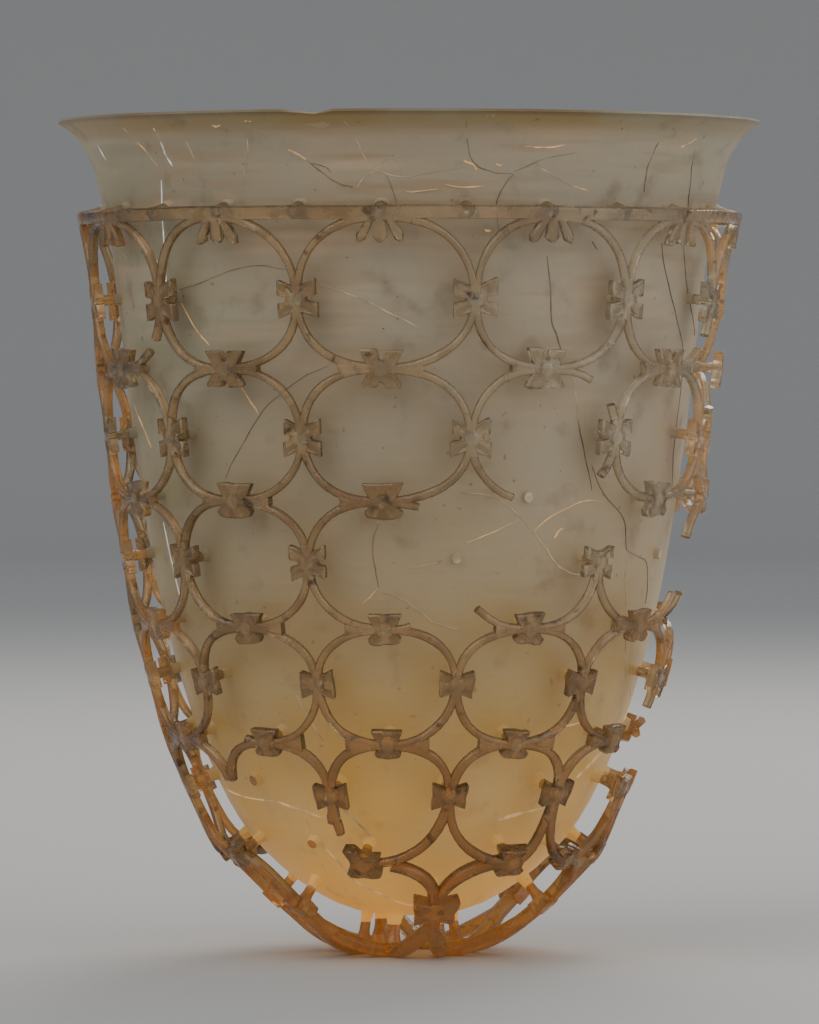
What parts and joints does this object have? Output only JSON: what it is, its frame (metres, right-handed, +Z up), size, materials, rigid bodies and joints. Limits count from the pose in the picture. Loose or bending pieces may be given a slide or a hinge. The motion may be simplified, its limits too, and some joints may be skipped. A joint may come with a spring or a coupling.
{
  "type": "cage cup",
  "caption": "Deep bell-shaped glass beaker with a flared lip, inside an openwork cage of rings, knots and a collar band cut from the same glass, partly broken.",
  "frame": {"origin": "on the surface that the cup stands on, below the middle of its foot", "axes": "+Z up along the axis of the beaker to its mouth, -Y to the side that faces the viewer"},
  "size_m": [0.1518, 0.1518, 0.18],
  "materials": {
    "glass": "weathered, cloudy, pale grey-beige at the lip and amber at the foot"
  },
  "bodies": {
    "root": {"cage_cup": "glass"}
  },
  "joints": []
}
